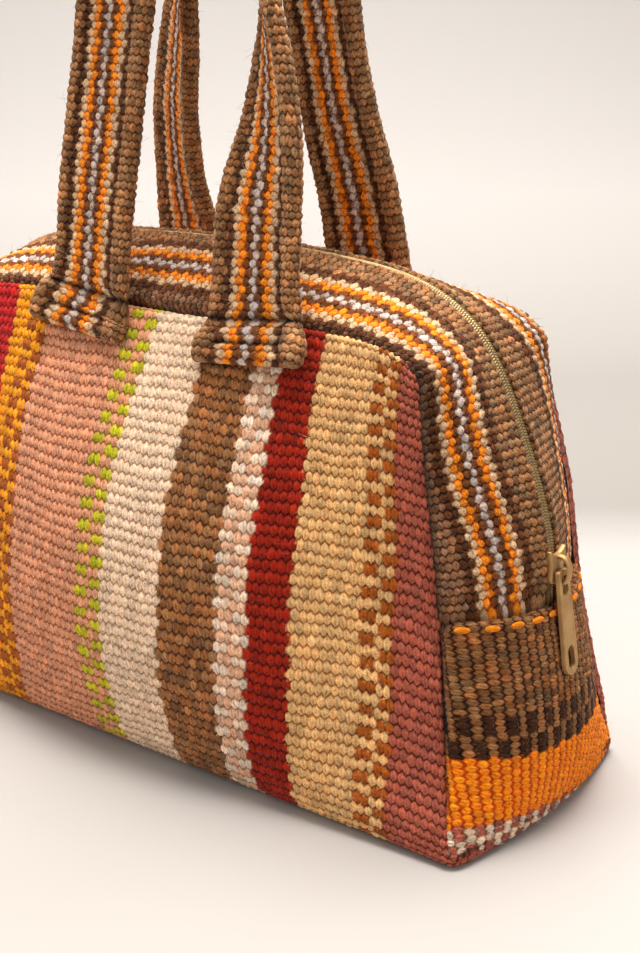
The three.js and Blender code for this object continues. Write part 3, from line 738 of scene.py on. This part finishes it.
# End panels
END_SHARES = np.linspace(0, 1, 401)
END_RUN = lengths(end_surface(np.zeros_like(END_SHARES), END_SHARES))
END_TOP = END_RUN[-1]
END_HALF_PICKS, END_CORNER = 17, 5.0
END_FOOT = 0.6  # how far above its lowest line the panel turns in
HEM_RADIUS, HEM_PAST = 2.2, 4.0
SEAM_FLANGE = 8.0  # how far the end panels and belts go on behind the front panel
BAND_TILT, BAND_TILT_FADE = 18.0, 30.0  # how much lower the bands are at the back, less and less with height
STITCH_BELOW, STITCH_PITCH = 2.9, 9.3
STITCH_HALF = np.array([[3.0], [1.3], [0.75]])  # half its length, width and thickness


def end_panel(name, side):
    """End panel: cloth turned a quarter, so ends run from seam to seam; its hem and its seams roll in."""
    spacing, pick = END_WEAVE["spacing"], END_WEAVE["pick"]
    ends = steps_between(-1.5, (END_TOP + BAND_TILT) / spacing + 2.25, FINE[0])
    b, a = np.meshgrid(steps_between(-END_HALF_PICKS, END_HALF_PICKS, FINE[1]), ends)
    y, height = b * pick, a * spacing
    tilt = BAND_TILT * clamp(0.5 + y / 110)
    for _ in range(12):
        height = a * spacing - tilt * np.exp(-np.maximum(height, 0) / BAND_TILT_FADE)
    aside = np.abs(y) - end_half_width(np.interp(height, END_RUN, END_SHARES))
    above = np.maximum(height - END_TOP, END_FOOT - height)
    over, back_y, back_up, depth = rolled_corner(aside, above, END_CORNER, HEM_RADIUS)
    y_new = np.sign(y) * (np.abs(y) - back_y)
    up_way = np.where(height > END_TOP / 2, 1, -1)
    v = np.interp(height - up_way * back_up, END_RUN, END_SHARES)
    q = np.clip(y_new / end_half_width(v), -1, 1)
    base = end_surface(q, v) - surface_normals(end_surface, q, v, 2e-3, 1) * depth[..., None]
    stripes = END_STRIPES[::-1]
    first_end = int(np.round(2 * END_TOP / spacing)) - ends_of(stripes) + 1
    fade = np.clip((HEM_PAST - over) / 3, 0.2, 1)
    # painted shade on the hem and seams where they roll in
    shade = np.clip(1 - (over + 1) / 7, 0.35, 1)
    keep = over < np.where(aside > above, SEAM_FLANGE, HEM_PAST)
    way = np.array([side, 1, 1])
    return woven(name, base, a, b, END_WEAVE, stripes, first_end, fade, shade, way, (over < 1, 900), keep,
                 extra=hem_stitches(way))


def hem_stitches(way):
    """Running stitches below the hem, each a bead along it."""
    share = np.interp(END_TOP - STITCH_BELOW, END_RUN, END_SHARES)
    half = end_half_width(share)
    up = unit(np.array([-0.2, 0, 1.0]))
    beads = []
    for y in np.arange(-half + 5, half - 3, STITCH_PITCH):
        ends = end_surface(np.array([y - 1, y + 1]) / half, np.full(2, share))
        ahead = unit(ends[1] - ends[0])
        out = unit(np.cross(ahead, up))
        middle = ends.mean(0) - out * 0.1
        beads.append(bead(middle * way, *(np.array([ahead, up, out]) * way * STITCH_HALF)))
    return beads


for side, name in ((1, "end_panel_right"), (-1, "end_panel_left")):
    panel = dressed(end_panel(name + "_cloth", side), END_WOOL, "end_wool", name)

# Zip belts
BELT_SHY = 0.45  # gap between a belt and the seam
BELT_CROWN, BELT_EDGE, BELT_PAST = 2.4, 2.0, 3.2
BELT_TO_COIL = 1.8  # how far the folded edge reaches over the zip tape
BELT_SLIDE = 9.6  # how much of the seam side is sewn in along the top
BACK_BELT_SLIDE = 8.0  # how much more of the back belt is sewn in along the ends
CENTRE_SHOW = 4.0  # how much less of a belt is sewn in between the straps
CENTRE_FROM, CENTRE_OVER = 0.8, 0.1
SIDE_SHADE = 0.42  # how much darker the belt is where the front panel shades it
SIDE_SHADE_AT, SIDE_SHADE_REACH = 0.38, 0.16
HUMP, HUMP_AT, HUMP_REACH = 4.0, 0.46, 0.09  # the back belt stands up at the corners
FOLD_RISE, FOLD_REACH = 1.5, 4.0  # how far the folded edge stands up beside the zip
TUCK = 9.0  # how far a belt goes down behind the end panel's hem
SEAM_SMOOTHING = 12


def seam_line():
    """The seam from above the hem, up the side, round the corner and along the top to the middle."""
    up = body_surface(np.ones(160), np.linspace(seam_share(HEM_HEIGHT + 4), 1, 160))
    over = body_surface(np.linspace(1, 0, 200), np.ones(200))
    line = on_line(join([up, over[1:]]), np.linspace(0, 1, 500))
    n = SEAM_SMOOTHING
    weights = np.exp(-0.5 * (np.arange(-n, n + 1) / 4.5) ** 2)
    padded = join([2 * line[:1] - line[n:0:-1], line, 2 * line[-1:] - line[-2:-n - 2:-1]])
    return packed(*(np.convolve(column, weights / weights.sum(), "valid") for column in padded.T))


SEAM = seam_line()
zip_rows = along(ZIP_ROWS, np.linspace(0, 1, 400))
ZIP = packed(zip_rows["x"], 0, zip_rows["z"])


def belt_sides(share):
    """The front belt's start on the seam, and the way from there to the zip."""
    seam = on_line(SEAM, share)
    return seam, on_line(ZIP, share) + [0, -ZIP_HALF_GAP, 0] - seam


def belt_surface(share, w):
    """Front belt's right half, at a distance w from the seam: straight from seam to zip, bowed outwards by
    four crowns of t times 1 - t. Gives the points and the way out."""
    seam, across = belt_sides(share)
    ahead = on_line(ZIP, share + 0.02) - on_line(ZIP, share - 0.02)
    out = unit(np.cross(across, ahead))
    t = (BELT_SHY + w) / np.linalg.norm(across, axis=-1)
    bow = 4 * BELT_CROWN * t * (1 - t)
    return seam + across * t[..., None] + out * bow[..., None], out


def tuck_surface(drop, q):
    """The belt's end behind the end panel, set in towards the core box."""
    half = seam_at(HEM_HEIGHT - drop)["y_edge"]
    points = end_surface(mix(-1, -ZIP_HALF_GAP / half, q), (HEM_HEIGHT - drop) / HEM_HEIGHT)
    away = points - np.clip(points, *CORE)
    return points - WALL_INSET * away / np.abs(away).max(-1, keepdims=True)


def belt(name, side):
    """Belt from tuck to tuck: rows are picks, columns the ends from seam to zip, which slide under the seam
    by a smooth step over the first third of the way up."""
    spacing, pick = STRAP_WEAVE["spacing"], STRAP_WEAVE["pick"]
    back = side > 0
    shares = np.linspace(0, 1, 401)
    half_run = lengths(belt_surface(shares, np.full(401, 20.0))[0])
    whole = half_run[-1] + TUCK
    picks = int(np.round(whole / pick))
    more = BACK_BELT_SLIDE / spacing - 0.25 if back else 0
    ends = steps_between(-3, ends_of(BELT_STRIPES) / 2 + 2 + more, FINE[0])
    a, b = np.meshgrid(ends, steps_between(-picks, picks, FINE[1]))
    run = whole - np.abs(b) * whole / picks
    share = np.interp(run - TUCK, half_run, shares)
    hidden = BACK_BELT_SLIDE * (1 - smooth_step((share - 0.3) / 0.2)) if back else 0
    centre = smooth_step((share - CENTRE_FROM) / CENTRE_OVER)
    w = a * spacing - BELT_SLIDE * smooth_step(share / 0.3) - hidden + CENTRE_SHOW * centre
    width = np.linalg.norm(belt_sides(share)[1], axis=-1) - BELT_SHY + BELT_TO_COIL
    over = np.maximum(-w, w - width)
    new, depth = turned_in(over, BELT_EDGE)
    seam_side = w < width / 2
    w_new = np.where(seam_side, -new, width + new)
    upper, out = belt_surface(share, w_new)
    rise = FOLD_RISE * bell(w_new, width, FOLD_REACH)
    if back:
        rise = rise + HUMP * bell(share, HUMP_AT, HUMP_REACH) * clamp(1 - w_new / width)
    upper = upper + out * rise[..., None]
    lower = tuck_surface(np.clip(TUCK - run, 0, TUCK), clamp(w_new / width))
    joined = clamp(run / TUCK)[..., None] ** 2
    base = np.where((run < TUCK)[..., None], mix(lower, upper, joined), upper)
    base = base - out * depth[..., None]
    base[..., 0] *= np.where(b > 0, -1, 1)
    fade = np.clip((2.5 - over) / 2, 0.2, 1)
    # painted shadow of the front panel on the belt beside the seam
    beside_seam = SIDE_SHADE * bell(share, SIDE_SHADE_AT, SIDE_SHADE_REACH) * clamp(1.2 - w / 9)
    # painted shade on the turned-in edges, lighter between the straps
    shade = np.clip(1 - (over + 1.2) / 6, 0.35 + 0.55 * centre, 1) * (1 - beside_seam)
    # painted shade where the belt goes down behind the end panel's hem
    shade = shade * np.clip((run - TUCK + 9) / 9, 0.4, 1)
    keep = over < np.where(seam_side, SEAM_FLANGE, BELT_PAST)
    way = np.array([1, -side, 1])
    return woven(name, base, a, b, STRAP_WEAVE, BELT_STRIPES, 0, fade, shade, way, (over < 0, 1500), keep)


for side, name in ((-1, "zip_belt_front"), (1, "zip_belt_back")):
    piece = dressed(belt(name + "_cloth", side), BELT_WOOL, "belt_wool", name)

# Zip chain
COIL_PITCH, COIL_HALF_WIDTH, COIL_RISE = 1.1, 2.3, 1.1
TAPE_HALF_WIDTH, TAPE_SUNK = 3.8, 0.9
TAPE_TONE, COIL_TONE = (70, 50, 30), (188, 160, 108)
ZIP_FOOT = [[156.4, 0, 77.0], [155.9, 0, 82.0]]  # where the chain goes on behind the hem


def zip_coil():
    """Zip chain: two swelling rows of teeth, cut by grooves that slant from the middle, on a lower tape."""
    path = join([ZIP_FOOT, ZIP])
    whole = join([path, path[-2::-1] * [-1, 1, 1]])
    run = lengths(whole)[-1]
    steps = int(run / COIL_PITCH) * 4
    share = np.linspace(0, 1, steps + 1)
    line = on_line(whole, share)
    ahead = unit(np.gradient(line, axis=0))
    out = ahead[:, ::-1] * [1, 0, -1]
    y = np.linspace(-TAPE_HALF_WIDTH, TAPE_HALF_WIDTH, 17)[None, :]
    apart = np.abs(y) / COIL_HALF_WIDTH
    turn = share[:, None] * run / COIL_PITCH + 0.75 * apart + np.where(y > 0, 0.5, 0)
    tooth = (0.5 + 0.5 * np.cos(2 * np.pi * turn)) ** 0.7
    swell = np.sqrt(np.maximum(0, 1 - ((apart - 0.5) / 0.52) ** 2))
    rise = swell * (0.45 + 0.55 * tooth) * COIL_RISE
    points = line[:, None] + out[:, None] * (rise - TAPE_SUNK)[..., None] + y[..., None] * [0, 1, 0]
    # beside the coil the tape's own dark colour; between the teeth the same dark tone is a painted shade in
    # the grooves
    yarn = mix(linear(TAPE_TONE), linear(COIL_TONE), (swell * (0.12 + 0.88 * tooth))[..., None])
    yarn = join([yarn, np.ones_like(yarn[..., :1])], -1)
    return cloth_mesh("zip_coil", points, yarn, packed(turn, y, 1))


dressed(zip_coil(), coil_brass("zip_coil"), "zip_coil", "zip_chain")

# Strap handles
STRAP_ROLL, STRAP_MIDDLE = 3.6, 1.9  # radius of a strap's rolled edges, and half the thickness between them
LUMP, LUMP_LENGTH = 0.14, 4.1  # how much the rolls vary in thickness
SEWN_AT, SEWN_REACH = 17.0, 1.7  # from the strap's end to the line where it is sewn down
GROOVE_AT, GROOVE_REACH = 7.6, 1.1  # to the groove above its folded edge
SWELL_AT, SWELL_REACH = 7.0, 6.2  # to where the folded end is fullest
END_ROUND = 3.2
ROLL_ENDS, BAND_ENDS = 7, 18


def strap_ring(steps):
    """Walk round the strap's outline in even steps: half a rolled edge, the front face, the other edge and
    the back. Gives the roll's share (0 outermost, 1 at the crease), the place across the face from 1 to -1,
    whether it is on a roll, and 1 in front or -1 behind."""
    roll = np.arange(0, ROLL_ENDS, 2 / steps) / ROLL_ENDS
    band = np.arange(0, BAND_ENDS, 2 / steps) / BAND_ENDS
    still = np.ones_like(roll)
    share = join([roll, np.ones_like(band), 1 - roll])
    place = join([still, 1 - 2 * band, -still])
    on_roll = join([still, np.zeros_like(band), still]) > 0
    front = np.ones_like(share)
    return np.tile(share, 2), np.append(place, -place), np.tile(on_roll, 2), np.append(front, -front)


def strap(name, side, legs, steps, count):
    """Strap handle: two rolled edges and a thinner band, carried along a line while it turns on itself; each
    end is drawn down along the sewn line and swells below it, where it is folded."""
    right, left = (along(leg_rows, np.linspace(0, 1, 900)) for leg_rows in legs)
    rows = {key: join([right[key], left[key][-2::-1]]) for key in right}
    spine = packed(*(rows[key] for key in "xyz"))
    run = lengths(spine)
    picks = int(np.round(run[-1] / STRAP_WEAVE["pick"]))
    place = np.arange(picks * steps[1] + 1) / (picks * steps[1]) * run[-1]
    spine = at_runs(spine, run, place)
    ahead = unit(np.gradient(spine, axis=0))
    front = unit(np.array([0, -1.0, 0]) - ahead * -ahead[:, 1:2])
    outward = np.cross(ahead, front)
    turn = np.radians(np.interp(place, run, rows["turn"]))[:, None]
    wide = outward * np.cos(turn) + front * np.sin(turn)
    face = front * np.cos(turn) - outward * np.sin(turn)
    from_end = np.minimum(place, run[-1] - place)
    closing = np.sqrt(clamp(1 - (1 - clamp(from_end / END_ROUND)) ** 2))
    sewn = bell(from_end, SEWN_AT, SEWN_REACH)
    fold = bell(from_end, GROOVE_AT, GROOVE_REACH)
    swell = bell(from_end, SWELL_AT, SWELL_REACH)
    lump = 1 + LUMP * smooth_dice(0, place / LUMP_LENGTH, np.zeros_like(place))
    roll = (STRAP_ROLL * lump * (1 - 0.55 * sewn + 0.45 * swell))[:, None]
    middle = (STRAP_MIDDLE * (1 - 0.7 * sewn + 0.7 * swell - 0.95 * fold))[:, None]
    half_wide = np.interp(place, run, rows["wide"]) / 2 + 1.8 * swell - 1.0 * (1 - closing)
    share, across, on_roll, facing = strap_ring(steps[0])
    crease = np.pi - np.arcsin(clamp(middle / np.maximum(roll, 1e-6)))
    angle = share[None, :] * crease
    edge_at = half_wide[:, None] - roll
    crease_at = edge_at + roll * np.cos(crease)
    on_edge = np.sign(across) * (edge_at + roll * np.cos(angle))
    sideways = np.where(on_roll, on_edge, across * crease_at)[..., None]
    upward = (facing * np.where(on_roll, roll * np.sin(angle), middle) * closing[:, None])[..., None]
    base = spine[:, None] + wide[:, None] * sideways + face[:, None] * upward
    a, b = np.meshgrid(np.arange(base.shape[1]) / steps[0], place / run[-1] * picks)
    from_crease = np.where(on_roll, (1 - share) * ROLL_ENDS, (1 - np.abs(across)) * BAND_ENDS / 2)
    # painted shade in the creases between rolls and band, along the sewn line and in the groove above the
    # folded end
    shade = (1 - 0.3 * bell(from_crease, 0, 1.4))[None, :] * (1 - 0.7 * sewn)[:, None]
    shade = shade * np.where(on_roll, 1, (1 - 0.6 * fold)[:, None])
    fade = np.maximum(closing, 0.3)[:, None]
    way = np.array([-side, -side, 1])
    loose = np.ones(base.shape[:2], bool), count
    return woven(name, base, a, b, STRAP_WEAVE, STRAP_STRIPES * 2, 0, fade, shade, way, loose, tube=True)


for side, name, legs, steps, count in (
    (-1, "handle_front", FRONT_LEGS, FINE, 3600), (1, "handle_back", BACK_LEGS, COARSE, 2000),
):
    piece = dressed(strap(name + "_strap", side, legs, steps, count), STRAP_WOOL, "strap_wool", name)

# Brass slider and pull
SLIDER_Z = 97.5
SLIDER_HALF_OUTLINE = np.array([
    (0, 5.0), (2.4, 5.4), (5.3, 7.0), (5.1, 4.4), (4.3, 0.6), (4.4, -3.6), (3.6, -5.6), (0, -6.2),
])
SLIDER_STATIONS = np.array([  # out along the end, and the outline's scale there
    (154.9, 0.05), (154.9, 0.62), (155.9, 0.66), (156.1, 0.94), (156.5, 1.0), (157.7, 1.0), (158.15, 0.95),
    (158.4, 0.84), (158.4, 0.05),
])
ARCH_PATH = np.array([
    (157.4, 101.5), (159.6, 101.75), (161.6, 100.9), (162.75, 98.6), (162.85, 95.6), (162.2, 93.2),
    (160.4, 92.0), (157.4, 92.1),
])
ARCH_HALF_WIDTH, ARCH_HALF_THICK = 1.55, 0.9
PULL_PIVOT, PULL_LEAN, PULL_FACE = (160.0, 95.6), np.radians(8.5), 0.75
RIM_HALF_WIDTH, RIM_HEIGHT = 0.55, 0.28
RIM_TOP, RIM_TOP_HALF = -8.3, 3.0  # heights from the pivot, and half widths there
RIM_FOOT, RIM_FOOT_HALF = -33.75, 4.0
HOLE_TOP, HOLE_FOOT, HOLE_HALF = -29.6, -34.0, 2.75


def smooth_loop(corners, count, closed):
    """Smooth curve through corners, closed or open, as count points."""
    ring = join([corners[-3:], corners, corners[:3]]) if closed else corners
    share = np.linspace(0, 1, count)
    if closed:
        share = (3 + np.arange(count) / count * len(corners)) / (len(ring) - 1)
    return packed(*along(dict(enumerate(ring.T)), share).values())


def oval_along(path, ahead, sides, half_wide, high):
    """An oval carried along a path in a plane: both places in the plane, and the height above it."""
    angle = np.arange(sides) * 2 * np.pi / sides
    across = half_wide * np.cos(angle)
    first = path[:, :1] + ahead[:, 1:] * across
    second = path[:, 1:] - ahead[:, :1] * across
    return first, second, high * np.sin(angle)


def metal_mesh(name, tubes):
    """Mesh of tubes, each of points by ring and side, and whether it closes on itself."""
    spots, quads, start = [], [], 0
    for points, closed in tubes:
        spots.append(points.reshape(-1, 3))
        quads.append(facing_out(spots[-1], tube_quads(*points.shape[:2], closed)) + start)
        start += len(spots[-1])
    return quad_mesh(name, join(spots) * MM, join(quads))


def slider_body():
    """Slider plate: its outline, with two points at the top, scaled at stations from the zip outwards."""
    mirrored = SLIDER_HALF_OUTLINE[-2:0:-1] * [-1, 1]
    outline = smooth_loop(join([SLIDER_HALF_OUTLINE, mirrored]), 56, True)
    x, scale = SLIDER_STATIONS[:, :1], SLIDER_STATIONS[:, 1:]
    y, z = scale * outline[:, 0], SLIDER_Z + scale * outline[:, 1]
    return packed(x, y, z)


def slider_arch():
    """Slider arch: an oval carried along a curve from the plate's top to its foot."""
    path = smooth_loop(ARCH_PATH, 40, False)
    back_along = -unit(np.gradient(path, axis=0))
    x, z, y = oval_along(path, back_along, 16, ARCH_HALF_THICK, ARCH_HALF_WIDTH)
    return packed(x, y, z)


def pull_rim(loop, face):
    """Raised rim on a face of the pull: an oval carried round a loop."""
    ahead = unit(np.roll(loop, -1, axis=0) - np.roll(loop, 1, axis=0))
    y, z, high = oval_along(loop, ahead, 8, RIM_HALF_WIDTH, RIM_HEIGHT)
    thick = face * PULL_FACE + high
    x = PULL_PIVOT[0] + thick * np.cos(PULL_LEAN) - z * np.sin(PULL_LEAN)
    up = PULL_PIVOT[1] + thick * np.sin(PULL_LEAN) + z * np.cos(PULL_LEAN)
    return packed(x, y, up)


def pull_loops():
    """Lines of the rims: round the tab a little inside its edge, and round its hole."""
    turn = np.linspace(0, -np.pi, 20)
    foot = packed(RIM_FOOT_HALF * np.cos(turn), RIM_FOOT + RIM_FOOT_HALF * np.sin(turn))
    down = np.linspace((RIM_TOP_HALF, RIM_TOP), foot[0], 14)[:-1]
    up = down[::-1] * [-1, 1]
    top = np.linspace(up[-1], down[0], 8)[1:-1]
    turn = np.linspace(0, 2 * np.pi, 28, endpoint=False)
    middle = np.where(np.sin(turn) > 0, HOLE_TOP, HOLE_FOOT)
    hole = packed(HOLE_HALF * np.cos(turn), middle + HOLE_HALF * np.sin(turn))
    return join([down, foot, up, top]), hole


BRASS_PULL = brass("pull_brass", (206, 168, 114), (174, 136, 86), (0.48, 0.64))
BRASS_SLIDER = brass("slider_brass", (200, 162, 108), (164, 128, 80), (0.46, 0.62))
slider = metal_mesh("zip_slider_shell", [(slider_body(), False), (slider_arch(), False)])
dressed(slider, BRASS_SLIDER, "slider_brass", "zip_slider")
rims = [(pull_rim(loop, face), True) for loop in pull_loops() for face in (1, -1)]
dressed(metal_mesh("zip_pull_rims", rims), BRASS_PULL, "pull_brass", body="pull")
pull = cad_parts["zip_pull"]
pull.data.materials.clear()
pull.data.materials.append(BRASS_PULL)
given(pull.modifiers.new("weld", "WELD"), merge_threshold=1e-6)
bevel = pull.modifiers.new("bevel", "BEVEL")
given(bevel, width=0.00028, segments=2, limit_method="ANGLE", angle_limit=0.6)

# Floor and backdrop, in metres: one sweep of pale paper whose tone paints the light, a painted shade greyer
# just behind the bag and paler further out with painted light
FLOOR_HALF, FLOOR_FROM, FLOOR_TO = 3.0, -2.5, 0.9
BEND, WALL_TOP = 1.2, 4.0
FLOOR_TONES_AND_PAINTED_LIGHT = (  # depth behind the bag's middle, and the paper's tone there, with painted shade just behind the bag and painted light further out
    (-0.45, (0.42, 0.39, 0.365)), (0.10, (0.42, 0.405, 0.40)), (0.19, (0.405, 0.392, 0.386)),
    (0.27, (0.285, 0.272, 0.258)), (0.6, (0.335, 0.318, 0.303)), (1.3, (0.65, 0.63, 0.62)),
)
AWAY = np.array([-0.61, 0.792, 0])  # level, away from the camera
ASIDE = np.array([0.792, 0.61, 0])


def sweep():
    """A floor that bends up into a wall behind the bag: a profile pulled sideways, turned to the camera."""
    angle = np.linspace(0, np.pi / 2, 14)
    far = [FLOOR_FROM, *(FLOOR_TO + BEND * np.sin(angle)), FLOOR_TO + BEND]
    high = [0, *(BEND - BEND * np.cos(angle)), WALL_TOP]
    aside = (-FLOOR_HALF, FLOOR_HALF)
    spots = np.array([AWAY * d + ASIDE * s + [0, 0, z] for d, z in zip(far, high) for s in aside])
    material, tree = new_material("paper_with_painted_light")
    place = {0: object_place(tree), 1: AWAY}
    depth = node(tree, "VectorMath", place, operation="DOT_PRODUCT")["Value"]
    near, end = FLOOR_TONES_AND_PAINTED_LIGHT[0][0], FLOOR_TONES_AND_PAINTED_LIGHT[-1][0]
    stops = [((at - near) / (end - near), tone) for at, tone in FLOOR_TONES_AND_PAINTED_LIGHT]
    paper = shaded(material, {
        "Base Color": ramp(tree, ranged(tree, depth, (near, end)), stops), "Roughness": 0.9,
        "Specular IOR Level": 0.1,
    })
    obj = quad_mesh("sweep", spots, grid_quads(len(far), 2))
    obj.data.materials.append(paper)


sweep()


def aimed(obj, place, way):
    """Puts a lamp or a camera at a place, looking along a way."""
    turn = way.to_track_quat("-Z", "Y")
    return given(obj, location=place, rotation_mode="QUATERNION", rotation_quaternion=turn)


for name, place, aim, size, power, colour in (
    ("top_light", (-0.08, 0.14, 1.52), (0, 0, 0.1), 0.95, 58, (1.0, 0.95, 0.89)),
    ("window_light", (-0.9, -1.5, 1.0), (0, 0, 0.12), 1.4, 16, (1.0, 0.96, 0.92)),
    ("side_light", (1.7, -0.3, 1.2), (0.1, 0, 0.1), 1.2, 12, (1.0, 0.95, 0.9)),
):
    light = given(bpy.data.lights.new(name, "AREA"), size=size, energy=power, color=colour)
    aimed(added(name, light), place, Vector(aim) - Vector(place))

world = bpy.data.worlds.new("studio")
world.use_nodes = True
fill(world.node_tree, world.node_tree.nodes["Background"], {"Color": (1.0, 0.89, 0.78, 1), "Strength": 0.2})
bpy.context.scene.world = world
bpy.context.scene.view_settings.view_transform = "Standard"

lens = given(bpy.data.cameras.new("camera"), lens=57.57, sensor_width=36, clip_start=0.01)
camera = aimed(added("camera", lens), (0.4045, -0.4603, 0.290), Vector((-0.5832, 0.7573, -0.2940)))
bpy.context.scene.camera = camera
